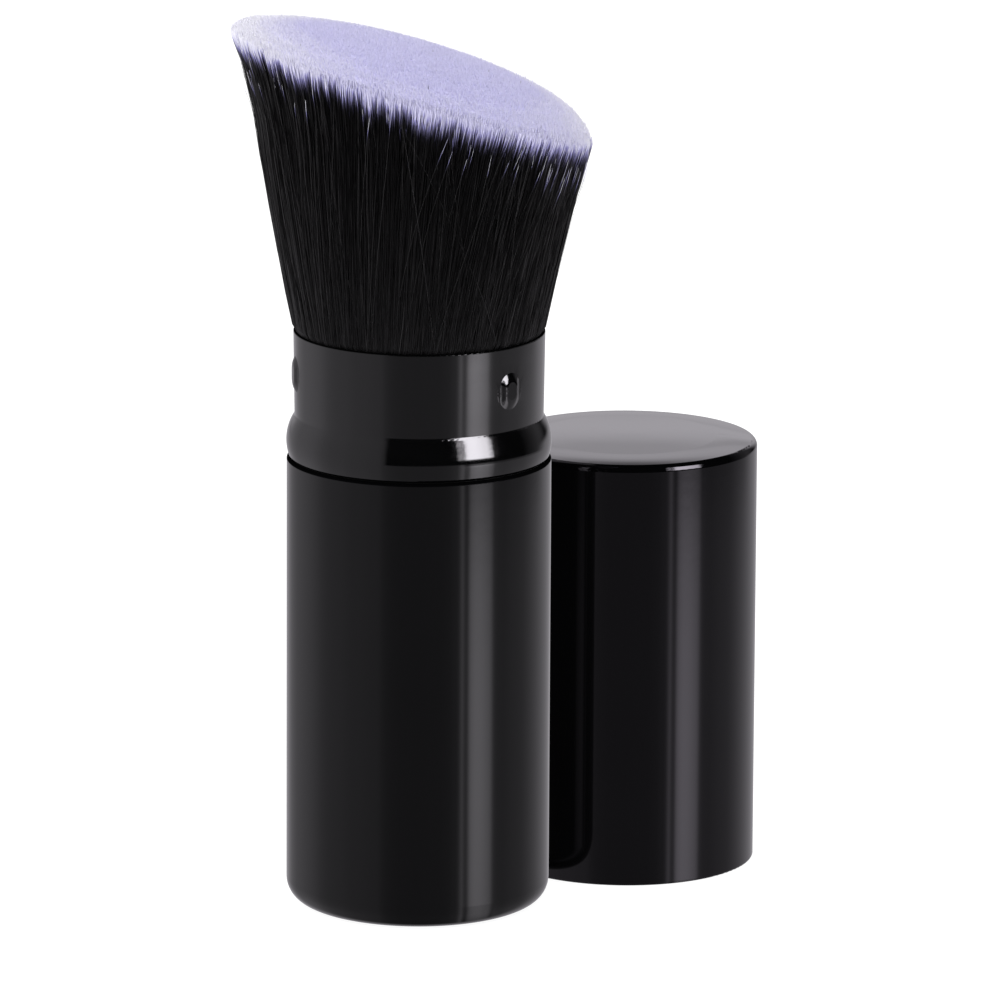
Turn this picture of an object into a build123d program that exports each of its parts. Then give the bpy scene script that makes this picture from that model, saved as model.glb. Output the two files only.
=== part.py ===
from build123d import *
import math
import os

# A short, wide makeup brush whose collar slides up round the bristles, with its
# cap standing beside it. Millimetres, +Z up. The origin is on the barrel's axis,
# in the plane that the barrel stands on. The brush faces -Y.

# ---------------------------------------------------------------- dimensions
# barrel: drawn aluminium cup
BARREL_R = 16.0
BARREL_H = 55.36
BARREL_WALL = 0.45
BASE_ROUND = 2.84
BARREL_LIP = 0.34

# ballast in the barrel's bottom
PAD_T = 0.20
PAD_R = 12.0
WEIGHT_R = 12.6
WEIGHT_HOLE_R = 3.4
WEIGHT_Z0 = BARREL_WALL + PAD_T
WEIGHT_Z1 = 3.0

# barrel liner, its guide grooves, and the bushing that closes them
LINER_R = 15.50
LINER_BORE = 14.75
LINER_FLOOR_Z = 4.2
BUSHING_Z0 = 52.4
SEAT_Z = 55.42
GROOVE_R = 15.13
GROOVE_W = 2.6
GROOVE_Z0 = 8.6
KEY_ANGLES = (-47.0, -167.0, 73.0)

# sleeve travel
TRAVEL = 40.0

# slide tube
TUBE_R = 14.68
TUBE_NECK_R = 14.60
TUBE_BORE = 13.70
TUBE_Z0 = 4.6
TUBE_Z1 = 68.2
LUG_R = 15.08
LUG_W = 2.4
LUG_H = 3.0
LUG_Z1 = BUSHING_Z0 - TRAVEL - 0.10
RING_Z = 6.925
RING_SECTION = 0.30
RING_GROOVE_R = 14.12

# collar: raised ring, neck and bumps; heights h are above the barrel's edge
COLLAR_T = 0.42
NECK_R = 15.06
RIM_R = 15.20
RIM_H = 15.56
RIM_Z = BARREL_H + RIM_H
BEAD_CR, BEAD_CH, BEAD_R = 10.60, 2.01, 5.45
FILLET = 0.60
LIP_ROUND = 0.45
LIP_H = 0.06
LIP_R_IN = 15.00
# each bump's direction and the height of its middle
BUMPS = ((-43.5, 65.64), (-169.5, 65.93), (73.5, 65.79))
# a bump's pill at rising distances from the axis: distance, half length, half width
BUMP_STEPS = (
    (14.86, 2.62, 2.05), (15.04, 2.38, 1.66), (15.13, 2.24, 1.42), (15.22, 2.05, 1.28),
    (15.32, 1.82, 1.14), (15.41, 1.58, 1.00), (15.46, 1.36, 0.86), (15.48, 1.09, 0.71),
)

# post, screw, ferrule and roots
POST_FLANGE_R = 13.3
POST_FLANGE_T = 1.4
POST_COLUMN_R = 7.0
POST_COLUMN_BORE = 5.2
POST_HEAD_R = 12.9
POST_HEAD_Z0 = 44.5
POST_HEAD_Z1 = 49.5
RIB_T = 1.2
FERRULE_R = 13.35
FERRULE_BORE = 12.95
FERRULE_Z0 = 45.0
FERRULE_Z1 = 62.0
CRIMP_Z = (46.6, 48.2)
GLUE_Z1 = 52.5
CORE_R = 12.2

# bristle tuft: radius against height, then a slanted, domed cut
TUFT_PROFILE = (
    (13.40, 67.9), (14.40, 70.92), (15.10, 71.9), (15.93, 74.4), (17.17, 80.2),
    (18.34, 86.1), (19.60, 92.0), (20.90, 98.0), (22.00, 104.0), (22.40, 107.5),
    (22.70, 112.0),
)
CUT_Z = 105.55
CUT_SLOPE_X = 0.280
CUT_SLOPE_Y = 0.045
CUT_RADIUS = 84.0
CUT_EDGE = 1.8

# cap, standing mouth down beside the brush
CAP_X, CAP_Y = 25.47, 21.40
CAP_R = 16.0
CAP_EDGE_H = 52.86
# the top is a very shallow dome: its middle part's radius, and its slope in degrees
# there and where the edge's rounding starts
CAP_DOME_R, CAP_DOME_SLOPE, CAP_EDGE_SLOPE = 11.0, 1.8, 8.0
CAP_WALL = 0.30
CAP_TOP_T = 0.40
CAP_TOP_ROUND = 0.85
CAP_HEM_H = 0.60
CAP_HEM_R = 15.35
CAP_HEM_ROUND = 0.37
CAP_HEM_ROUND_IN = 0.25
CAP_LINER_R = 15.66
CAP_BORE = 15.28
SNAP_R = 15.52
SNAP_Z0, SNAP_Z1 = 3.9, 8.9


# ---------------------------------------------------------------- helpers
def turned(edges):
    """A solid of revolution about Z from a closed chain of edges in (r, z)."""
    return revolve(make_face(Wire(edges)), Axis.Z, 360)


def seg(a, b):
    return Line((a[0], 0, a[1]), (b[0], 0, b[1]))


def arc(a, m, b):
    return ThreePointArc((a[0], 0, a[1]), (m[0], 0, m[1]), (b[0], 0, b[1]))


def on_arc(centre, radius, degrees):
    t = math.radians(degrees)
    return (centre[0] + radius * math.cos(t), centre[1] + radius * math.sin(t))


def arc_about(centre, radius, start, end):
    return arc(
        on_arc(centre, radius, start),
        on_arc(centre, radius, (start + end) / 2),
        on_arc(centre, radius, end),
    )


def chain(points):
    """Straight edges through points, closed."""
    return [seg(a, b) for a, b in zip(points, points[1:] + points[:1])]


def ring(r0, r1, z0, z1):
    return turned(chain([(r0, z0), (r1, z0), (r1, z1), (r0, z1)]))


def disc(r, z0, z1):
    return Pos(0, 0, z0) * Cylinder(
        r, z1 - z0, align=(Align.CENTER, Align.CENTER, Align.MIN)
    )


def key_block(width, r0, r1, z0, z1, angle):
    block = Pos((r0 + r1) / 2, 0, (z0 + z1) / 2) * Box(r1 - r0, width, z1 - z0)
    return Rot(0, 0, angle) * block


def single(shape):
    """The one solid that a piece is."""
    solids = shape.solids()
    if len(solids) != 1:
        raise ValueError(f"{len(solids)} solids where one is meant")
    return solids[0]


# ---------------------------------------------------------------- barrel
def make_barrel_shell():
    corner = (BARREL_R - BASE_ROUND, BASE_ROUND)
    lip = (BARREL_R - BARREL_LIP, BARREL_H - BARREL_LIP)
    inner = BARREL_R - BARREL_WALL
    return turned([
        seg((0, 0), (corner[0], 0)),
        arc_about(corner, BASE_ROUND, -90, 0),
        seg((BARREL_R, BASE_ROUND), (BARREL_R, lip[1])),
        arc_about(lip, BARREL_LIP, 0, 90),
        seg((lip[0], BARREL_H), (inner, BARREL_H)),
        seg((inner, BARREL_H), (inner, BASE_ROUND)),
        arc_about(corner, BASE_ROUND - BARREL_WALL, 0, -90),
        seg((corner[0], BARREL_WALL), (0, BARREL_WALL)),
        seg((0, BARREL_WALL), (0, 0)),
    ])


def make_weight_pad():
    return ring(WEIGHT_HOLE_R, PAD_R, BARREL_WALL, WEIGHT_Z0)


def make_base_weight():
    c = 0.3
    return turned(chain([
        (WEIGHT_HOLE_R, WEIGHT_Z0), (WEIGHT_R - c, WEIGHT_Z0), (WEIGHT_R, WEIGHT_Z0 + c),
        (WEIGHT_R, WEIGHT_Z1 - c), (WEIGHT_R - c, WEIGHT_Z1), (WEIGHT_HOLE_R, WEIGHT_Z1),
    ]))


def make_barrel_liner():
    body = turned(chain([
        (1.5, WEIGHT_Z1), (LINER_R, WEIGHT_Z1), (LINER_R, BUSHING_Z0),
        (LINER_BORE, BUSHING_Z0), (LINER_BORE, LINER_FLOOR_Z), (1.5, LINER_FLOOR_Z),
    ]))
    for angle in KEY_ANGLES:
        body -= key_block(GROOVE_W, 13.9, GROOVE_R, GROOVE_Z0, BUSHING_Z0 + 1, angle)
    return body


def make_guide_bushing():
    c = 0.25
    return turned(chain([
        (LINER_BORE, BUSHING_Z0), (LINER_R, BUSHING_Z0), (LINER_R, SEAT_Z),
        (LINER_BORE + c, SEAT_Z), (LINER_BORE, SEAT_Z - c),
    ]))


# ---------------------------------------------------------------- post and tuft
def make_core_post():
    flange_z1 = LINER_FLOOR_Z + POST_FLANGE_T
    post = disc(POST_FLANGE_R, LINER_FLOOR_Z, flange_z1)
    post += ring(POST_COLUMN_BORE, POST_COLUMN_R, flange_z1, POST_HEAD_Z0)
    for angle in (0, 90):
        rib = Pos(0, 0, (flange_z1 + POST_HEAD_Z0) / 2) * Box(
            2 * 12.4, RIB_T, POST_HEAD_Z0 - flange_z1
        )
        post += Rot(0, 0, angle) * rib
    post += disc(2.8, flange_z1, 15.0)
    head = [(0.0, POST_HEAD_Z0), (POST_HEAD_R, POST_HEAD_Z0)]
    for z in CRIMP_Z:
        head += [(POST_HEAD_R, z - 0.5), (POST_HEAD_R - 0.4, z - 0.2),
                 (POST_HEAD_R - 0.4, z + 0.2), (POST_HEAD_R, z + 0.5)]
    head += [(POST_HEAD_R, POST_HEAD_Z1), (0.0, POST_HEAD_Z1)]
    post += turned(chain(head))
    post -= disc(1.27, LINER_FLOOR_Z - 1, 13.6)
    return post


def make_screw_washer():
    return ring(1.45, 3.1, WEIGHT_Z1 - 0.4, WEIGHT_Z1)


def make_post_screw():
    head_z1 = WEIGHT_Z1 - 0.4
    screw = turned(chain([
        (0, head_z1 - 1.4), (2.0, head_z1 - 1.4), (2.4, head_z1 - 1.0), (2.4, head_z1),
        (1.25, head_z1), (1.25, 12.2), (0.6, 13.0), (0, 13.0),
    ]))
    for angle in (0, 90):
        screw -= Rot(0, 0, angle) * (Pos(0, 0, head_z1 - 1.4) * Box(2.8, 0.6, 1.4))
    return screw


def make_ferrule():
    outer, inner = [], []
    for z in CRIMP_Z:
        outer += [(FERRULE_R, z - 0.5), (FERRULE_R - 0.33, z - 0.15),
                  (FERRULE_R - 0.33, z + 0.15), (FERRULE_R, z + 0.5)]
        inner += [(FERRULE_BORE, z - 0.45), (FERRULE_BORE - 0.33, z - 0.12),
                  (FERRULE_BORE - 0.33, z + 0.12), (FERRULE_BORE, z + 0.45)]
    points = [(FERRULE_BORE, FERRULE_Z0), (FERRULE_R, FERRULE_Z0)] + outer
    points += [(FERRULE_R, FERRULE_Z1 - 0.15), (FERRULE_R - 0.15, FERRULE_Z1),
               (FERRULE_BORE + 0.1, FERRULE_Z1), (FERRULE_BORE, FERRULE_Z1 - 0.1)]
    points += inner[::-1]
    return turned(chain(points))


def make_root_glue():
    return disc(FERRULE_BORE - 0.05, POST_HEAD_Z1, GLUE_Z1)


def make_tuft_binding():
    """Three turns of cord laid side by side round the roots."""
    r, section, pitch = 12.52, 0.30, 0.56
    cord = None
    for i in range(3):
        turn = Pos(0, 0, 53.1 + pitch * i) * Torus(r, section)
        cord = turn if cord is None else cord + turn
    return cord


def tuft_body(r_core=None):
    """The slanted, domed cut that tops the tuft: a big ball, tilted."""
    n = math.sqrt(CUT_SLOPE_X ** 2 + CUT_SLOPE_Y ** 2 + 1)
    c = Vector(0, 0, CUT_Z) - Vector(CUT_SLOPE_X, CUT_SLOPE_Y, 1) * (CUT_RADIUS / n)
    return Pos(c) * Sphere(CUT_RADIUS)


def make_bristle_core():
    column = disc(CORE_R, GLUE_Z1, 115.0)
    return column & tuft_body()


def make_bristle_flare():
    side = Spline(*[(r, 0, z) for r, z in TUFT_PROFILE])
    edges = [
        seg((CORE_R, 56.0), (FERRULE_BORE - 0.05, 56.0)),
        seg((FERRULE_BORE - 0.05, 56.0), (FERRULE_BORE - 0.05, 62.0)),
        seg((FERRULE_BORE - 0.05, 62.0), TUFT_PROFILE[0]),
        side,
        seg(TUFT_PROFILE[-1], (CORE_R, TUFT_PROFILE[-1][1])),
        seg((CORE_R, TUFT_PROFILE[-1][1]), (CORE_R, 56.0)),
    ]
    flare = turned(edges) & tuft_body()
    outer = [e for e in flare.edges() if e.bounding_box().size.X > 38
             and e.bounding_box().min.Z > 88]
    if outer:
        flare = fillet(outer, CUT_EDGE)
    return flare


# ---------------------------------------------------------------- sleeve
def bead_profile(inset):
    """The collar's outer line from its lower lip to the neck, moved in by inset:
    a small rounding, the bead's big arc, and a hollow fillet into the neck."""
    big = (BEAD_CR, BARREL_H + BEAD_CH)
    big_r = BEAD_R - inset
    # fillet between the bead's arc and the neck
    fx = NECK_R + FILLET
    fz = big[1] + math.sqrt((BEAD_R + FILLET) ** 2 - (fx - big[0]) ** 2)
    top_angle = math.degrees(math.atan2(fz - big[1], fx - big[0]))
    # rounding between the bead's arc and the flat lip
    lz = BARREL_H + LIP_H + LIP_ROUND
    lx = big[0] + math.sqrt((BEAD_R - LIP_ROUND) ** 2 - (lz - big[1]) ** 2)
    low_angle = math.degrees(math.atan2(lz - big[1], lx - big[0]))
    edges = []
    if inset < LIP_ROUND - 0.01:
        edges.append(arc_about((lx, lz), LIP_ROUND - inset, -90, low_angle))
        start = (lx, BARREL_H + LIP_H + inset)
    else:
        start = on_arc(big, big_r, low_angle)
    edges.append(arc_about(big, big_r, low_angle, top_angle))
    edges.append(arc_about((fx, fz), FILLET + inset, 180 + top_angle, 180))
    return start, edges, (NECK_R - inset, fz)


def bump(shrink, z):
    """A pressed bump before it joins the neck: a pill whose sides swell out of the
    neck in an S and roll over into its flat top. It is shrunk by shrink all round."""
    faces = []
    for x, half_length, half_width in BUMP_STEPS:
        flat = Plane(origin=(x, 0, z), x_dir=(0, 0, 1), z_dir=(1, 0, 0))
        faces.append(flat * SlotOverall(2 * (half_length - shrink), 2 * (half_width - shrink)))
    return loft(faces)


def make_collar_shell():
    start, out_edges, out_end = bead_profile(0)
    in_start, in_edges, in_end = bead_profile(COLLAR_T)
    z_in = BARREL_H + LIP_H + COLLAR_T
    e = 0.16
    edges = [
        seg((LIP_R_IN, BARREL_H + LIP_H), start),
        *out_edges,
        seg(out_end, (RIM_R, RIM_Z - e)),
        arc_about((RIM_R - e, RIM_Z - e), e, 0, 90),
        seg((RIM_R - e, RIM_Z), (RIM_R - COLLAR_T + e, RIM_Z)),
        arc_about((RIM_R - COLLAR_T + e, RIM_Z - e), e, 90, 180),
        seg((RIM_R - COLLAR_T, RIM_Z - e), in_end),
        *in_edges,
        seg(in_start, (LIP_R_IN, z_in)),
        seg((LIP_R_IN, z_in), (LIP_R_IN, BARREL_H + LIP_H)),
    ]
    shell = turned(edges)
    for angle, z in BUMPS:
        shell += Rot(0, 0, angle) * bump(0, z)
    for angle, z in BUMPS:
        shell -= Rot(0, 0, angle) * (Pos(-COLLAR_T, 0, 0) * bump(0.2, z))
    return shell


def make_slide_tube():
    gap = 0.04
    in_start, in_edges, in_end = bead_profile(COLLAR_T + gap)
    z_ring = BARREL_H + LIP_H + COLLAR_T
    g0, g1 = RING_Z - 0.325, RING_Z + 0.325
    foot = [
        (TUBE_BORE, TUBE_Z0), (TUBE_R - 0.3, TUBE_Z0), (TUBE_R, TUBE_Z0 + 0.3), (TUBE_R, g0),
        (RING_GROOVE_R, g0), (RING_GROOVE_R, g1), (TUBE_R, g1),
        (TUBE_R, z_ring), (in_start[0], z_ring), in_start,
    ]
    edges = [seg(a, b) for a, b in zip(foot, foot[1:]) if a != b]
    edges += in_edges
    crown = [
        in_end, (TUBE_NECK_R, TUBE_Z1), (TUBE_BORE + 0.5, TUBE_Z1),
        (TUBE_BORE, TUBE_Z1 - 1.2), (TUBE_BORE, TUBE_Z0),
    ]
    edges += [seg(a, b) for a, b in zip(crown, crown[1:])]
    tube = turned(edges)
    for angle in KEY_ANGLES:
        lug = key_block(LUG_W, 14.2, LUG_R + 1, LUG_Z1 - LUG_H, LUG_Z1, angle)
        tube += lug & ring(14.1, LUG_R, LUG_Z1 - LUG_H - 1, LUG_Z1 + 1)
    return tube


def make_friction_ring():
    return Pos(0, 0, RING_Z) * Torus(RING_GROOVE_R + RING_SECTION, RING_SECTION)


# ---------------------------------------------------------------- cap
def cap_dome():
    """The top's line from its middle to the edge's rounding, and its crown's height."""
    edge = on_arc((CAP_R - CAP_TOP_ROUND, CAP_EDGE_H - CAP_TOP_ROUND), CAP_TOP_ROUND,
                  90 - CAP_EDGE_SLOPE)
    a, b = math.radians(CAP_DOME_SLOPE), math.radians(CAP_EDGE_SLOPE)
    outer_r = (edge[0] - CAP_DOME_R) / (math.sin(b) - math.sin(a))
    inner_r = CAP_DOME_R / math.sin(a)
    z1 = edge[1] + outer_r * (math.cos(a) - math.cos(b))
    crown = z1 + inner_r * (1 - math.cos(a))
    outer_c = (CAP_DOME_R - outer_r * math.sin(a), z1 - outer_r * math.cos(a))
    inner_c = (0, crown - inner_r)
    edges = [
        arc_about(inner_c, inner_r, 90, 90 - CAP_DOME_SLOPE),
        arc_about(outer_c, outer_r, 90 - CAP_DOME_SLOPE, 90 - CAP_EDGE_SLOPE),
    ]
    return edges, crown


def make_cap_shell():
    dome, crown = cap_dome()
    top = (CAP_R - CAP_TOP_ROUND, CAP_EDGE_H - CAP_TOP_ROUND)
    inner = CAP_R - CAP_WALL
    inner_round = CAP_TOP_ROUND - CAP_WALL
    hem = (CAP_R - CAP_HEM_ROUND, CAP_HEM_ROUND)
    hem_in = (CAP_HEM_R + CAP_HEM_ROUND_IN, CAP_HEM_ROUND_IN)
    roof = CAP_EDGE_H - CAP_TOP_T
    edges = [
        *dome,
        arc_about(top, CAP_TOP_ROUND, 90 - CAP_EDGE_SLOPE, 0),
        seg((CAP_R, top[1]), (CAP_R, hem[1])),
        arc_about(hem, CAP_HEM_ROUND, 0, -90),
        seg((hem[0], 0), (hem_in[0], 0)),
        arc_about(hem_in, CAP_HEM_ROUND_IN, -90, -180),
        seg((CAP_HEM_R, CAP_HEM_ROUND_IN), (CAP_HEM_R, CAP_HEM_H)),
        seg((CAP_HEM_R, CAP_HEM_H), (inner, CAP_HEM_H)),
        seg((inner, CAP_HEM_H), (inner, roof - inner_round)),
        arc_about((inner - inner_round, roof - inner_round), inner_round, 0, 90),
        seg((inner - inner_round, roof), (0, roof)),
        seg((0, roof), (0, crown)),
    ]
    return Pos(CAP_X, CAP_Y, 0) * turned(edges)


def make_cap_liner():
    roof = CAP_EDGE_H - CAP_TOP_T
    c = 0.8
    points = [
        (0, roof), (CAP_LINER_R - c, roof), (CAP_LINER_R, roof - c), (CAP_LINER_R, CAP_HEM_H),
        (CAP_BORE, CAP_HEM_H), (CAP_BORE, SNAP_Z0), (SNAP_R, SNAP_Z0 + 0.5),
        (SNAP_R, SNAP_Z1 - 0.5), (CAP_BORE, SNAP_Z1), (CAP_BORE, roof - 0.5 - 0.6),
        (CAP_BORE - 0.6, roof - 0.5), (0, roof - 0.5),
    ]
    return Pos(CAP_X, CAP_Y, 0) * turned(chain(points))


# ---------------------------------------------------------------- write
PIECES = {
    "barrel_shell": make_barrel_shell,
    "weight_pad": make_weight_pad,
    "base_weight": make_base_weight,
    "barrel_liner": make_barrel_liner,
    "guide_bushing": make_guide_bushing,
    "core_post": make_core_post,
    "screw_washer": make_screw_washer,
    "post_screw": make_post_screw,
    "ferrule": make_ferrule,
    "root_glue": make_root_glue,
    "tuft_binding": make_tuft_binding,
    "bristle_core": make_bristle_core,
    "bristle_flare": make_bristle_flare,
    "collar_shell": make_collar_shell,
    "slide_tube": make_slide_tube,
    "friction_ring": make_friction_ring,
    "cap_shell": make_cap_shell,
    "cap_liner": make_cap_liner,
}


def main():
    os.makedirs("parts", exist_ok=True)
    for name, make in PIECES.items():
        solid = single(make())
        export_step(solid, os.path.join("parts", name + ".step"))
        box = solid.bounding_box()
        print(f"{name:14s} {solid.volume:10.2f} mm3  z {box.min.Z:8.3f} .. {box.max.Z:8.3f}")


if __name__ == "__main__":
    main()
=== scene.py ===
import math

import bpy
import numpy as np
from mathutils import Matrix


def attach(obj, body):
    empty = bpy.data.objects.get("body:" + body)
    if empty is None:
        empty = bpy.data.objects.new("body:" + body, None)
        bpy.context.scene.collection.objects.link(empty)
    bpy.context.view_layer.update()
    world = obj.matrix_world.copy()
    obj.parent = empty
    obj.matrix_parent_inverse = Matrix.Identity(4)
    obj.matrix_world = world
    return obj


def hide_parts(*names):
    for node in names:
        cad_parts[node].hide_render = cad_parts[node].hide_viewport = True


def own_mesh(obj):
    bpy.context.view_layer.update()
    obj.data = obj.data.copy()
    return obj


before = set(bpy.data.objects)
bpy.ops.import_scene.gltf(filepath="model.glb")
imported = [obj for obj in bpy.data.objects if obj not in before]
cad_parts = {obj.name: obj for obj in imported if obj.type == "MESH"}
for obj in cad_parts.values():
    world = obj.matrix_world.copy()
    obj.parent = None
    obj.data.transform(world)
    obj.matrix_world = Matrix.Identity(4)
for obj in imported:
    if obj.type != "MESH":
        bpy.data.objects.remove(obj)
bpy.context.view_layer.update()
MM = 0.001

# ------------------------------------------------------------------ camera
# The photograph's own view: a long lens, a metre off, looking down 13 degrees.
pitch, roll = math.radians(13.045), math.radians(-0.309)
forward = np.array([0.0, math.cos(pitch), -math.sin(pitch)])
right = np.array([1.0, 0.0, 0.0])
down = np.cross(forward, right)
x_axis = math.cos(roll) * right + math.sin(roll) * down
y_axis = -(-math.sin(roll) * right + math.cos(roll) * down)
cam_data = bpy.data.cameras.new("camera")
cam_data.sensor_width = 36.0
cam_data.lens = 9697.5 / 992.0 * 36.0
cam_data.clip_start, cam_data.clip_end = 0.05, 20.0
cam = bpy.data.objects.new("camera", cam_data)
bpy.context.collection.objects.link(cam)
turn = Matrix((
    (x_axis[0], y_axis[0], -forward[0]),
    (x_axis[1], y_axis[1], -forward[1]),
    (x_axis[2], y_axis[2], -forward[2]),
)).to_4x4()
cam.matrix_world = Matrix.Translation((0.00934, -1.14303, 0.31514)) @ turn
bpy.context.scene.camera = cam
bpy.context.scene.view_settings.view_transform = "Standard"


# ------------------------------------------------------------------ node helpers
def new_material(name):
    m = bpy.data.materials.new(name)
    m.use_nodes = True
    t = m.node_tree
    t.nodes.clear()
    out = t.nodes.new("ShaderNodeOutputMaterial")
    p = t.nodes.new("ShaderNodeBsdfPrincipled")
    t.links.new(p.outputs[0], out.inputs[0])
    return m, t, p


def math_node(t, op, a, b=None, clamp=False):
    n = t.nodes.new("ShaderNodeMath")
    n.operation = op
    n.use_clamp = clamp
    for i, v in enumerate((a, b)):
        if v is None:
            continue
        if isinstance(v, (int, float)):
            n.inputs[i].default_value = v
        else:
            t.links.new(v, n.inputs[i])
    return n.outputs[0]


def ranged(t, value, a, b, c, d, smooth=False):
    n = t.nodes.new("ShaderNodeMapRange")
    n.interpolation_type = "SMOOTHSTEP" if smooth else "LINEAR"
    t.links.new(value, n.inputs["Value"])
    for key, v in zip(("From Min", "From Max", "To Min", "To Max"), (a, b, c, d)):
        n.inputs[key].default_value = v
    return n.outputs["Result"]


def place(t, scale=(1, 1, 1)):
    c = t.nodes.new("ShaderNodeTexCoord")
    n = t.nodes.new("ShaderNodeMapping")
    n.inputs["Scale"].default_value = scale
    t.links.new(c.outputs["Object"], n.inputs["Vector"])
    return n.outputs["Vector"]


def noise(t, vector, scale, detail=2.0, roughness=0.5):
    n = t.nodes.new("ShaderNodeTexNoise")
    n.inputs["Scale"].default_value = scale
    n.inputs["Detail"].default_value = detail
    n.inputs["Roughness"].default_value = roughness
    t.links.new(vector, n.inputs["Vector"])
    return n.outputs["Fac"]


def mixed(t, fac, a, b):
    n = t.nodes.new("ShaderNodeMix")
    n.data_type = "RGBA"
    if isinstance(fac, float):
        n.inputs["Factor"].default_value = fac
    else:
        t.links.new(fac, n.inputs["Factor"])
    for key, v in ((6, a), (7, b)):
        if isinstance(v, tuple):
            n.inputs[key].default_value = (*v, 1.0)
        else:
            t.links.new(v, n.inputs[key])
    return n.outputs[2]


def bumped(t, height, distance, strength=1.0, normal=None):
    n = t.nodes.new("ShaderNodeBump")
    n.inputs["Strength"].default_value = strength
    n.inputs["Distance"].default_value = distance
    t.links.new(height, n.inputs["Height"])
    if normal is not None:
        t.links.new(normal, n.inputs["Normal"])
    return n.outputs["Normal"]


# ------------------------------------------------------------------ materials
def lacquer(name, base, rough, peel=1.0, ior=1.5, lip=None, tint=(1.0, 1.0, 1.0)):
    """Glossy black lacquer over metal: very dark, mirror-like, with a trace of
    orange peel, faint hairlines along the drawn wall and a few rubbed spots. The cut lip,
    above the height lip in metres, is dull and gives no reflection: painted shade for the dark seam gap and the rim."""
    m, t, p = new_material(name)
    vec = place(t)
    fine = noise(t, vec, 620.0, 3.0)
    cloud = noise(t, vec, 90.0, 2.0)
    hair = noise(t, place(t, (2600.0, 2600.0, 26.0)), 1.0, 3.0, 0.6)
    r = ranged(t, cloud, 0.3, 0.7, rough * 0.8, rough * 1.25)
    r = math_node(t, "ADD", r, ranged(t, hair, 0.62, 0.85, 0.0, rough * 0.9))
    if lip:
        xyz = t.nodes.new("ShaderNodeSeparateXYZ")
        t.links.new(vec, xyz.inputs[0])
        # painted shade: above this height the lip gives no reflection, so the seam between the parts reads dark
        lip_painted_shade = ranged(t, xyz.outputs["Z"], lip, lip + 0.00008, 0.0, 1.0)
        r = math_node(t, "ADD", r, math_node(t, "MULTIPLY", lip_painted_shade, 0.3))
        t.links.new(ranged(t, lip_painted_shade, 0.0, 1.0, 0.5, 0.0), p.inputs["Specular IOR Level"])
    t.links.new(r, p.inputs["Roughness"])
    dark = tuple(c * 0.75 for c in base)
    t.links.new(mixed(t, cloud, dark, base), p.inputs["Base Color"])
    height = math_node(t, "ADD", math_node(t, "MULTIPLY", fine, 0.5),
                       math_node(t, "MULTIPLY", hair, 0.12))
    t.links.new(bumped(t, height, 0.0000022 * peel), p.inputs["Normal"])
    p.inputs["IOR"].default_value = ior
    p.inputs["Specular Tint"].default_value = (*tint, 1.0)
    return m


def moulded(name, base, rough, grain=1.0, gloss=0.5):
    """Moulded plastic: a fine spark-eroded grain and slight flow clouding."""
    m, t, p = new_material(name)
    vec = place(t)
    fine = noise(t, vec, 5200.0, 3.0, 0.6)
    flow = noise(t, place(t, (60.0, 60.0, 18.0)), 1.0, 3.0)
    dark = tuple(c * 0.78 for c in base)
    t.links.new(mixed(t, flow, dark, base), p.inputs["Base Color"])
    t.links.new(ranged(t, fine, 0.25, 0.75, rough * 0.85, rough * 1.15), p.inputs["Roughness"])
    t.links.new(bumped(t, fine, 0.000012 * grain, 0.6), p.inputs["Normal"])
    p.inputs["Specular IOR Level"].default_value = gloss
    return m


def turned_metal(name, base, rough):
    """Bare turned or drawn metal: fine rings round the axis and soft stains."""
    m, t, p = new_material(name)
    rings = noise(t, place(t, (40.0, 40.0, 9000.0)), 1.0, 3.0, 0.65)
    stain = noise(t, place(t), 220.0, 3.0)
    dark = tuple(c * 0.72 for c in base)
    t.links.new(mixed(t, stain, dark, base), p.inputs["Base Color"])
    t.links.new(ranged(t, rings, 0.3, 0.7, rough * 0.7, rough * 1.4), p.inputs["Roughness"])
    t.links.new(bumped(t, rings, 0.000006, 0.7), p.inputs["Normal"])
    p.inputs["Metallic"].default_value = 1.0
    return m


def soft_stuff(name, base, rough, scale=1800.0, depth=0.00003, sheen=0.0):
    """Rubber, cord, paper or resin, told apart by colour, scale and roughness."""
    m, t, p = new_material(name)
    vec = place(t)
    fine = noise(t, vec, scale, 4.0, 0.6)
    cloud = noise(t, vec, scale * 0.11, 2.0)
    dark = tuple(c * 0.7 for c in base)
    t.links.new(mixed(t, cloud, dark, base), p.inputs["Base Color"])
    t.links.new(ranged(t, fine, 0.3, 0.7, rough * 0.85, min(1.0, rough * 1.15)), p.inputs["Roughness"])
    t.links.new(bumped(t, fine, depth, 0.5), p.inputs["Normal"])
    p.inputs["Sheen Weight"].default_value = sheen
    return m


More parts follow.
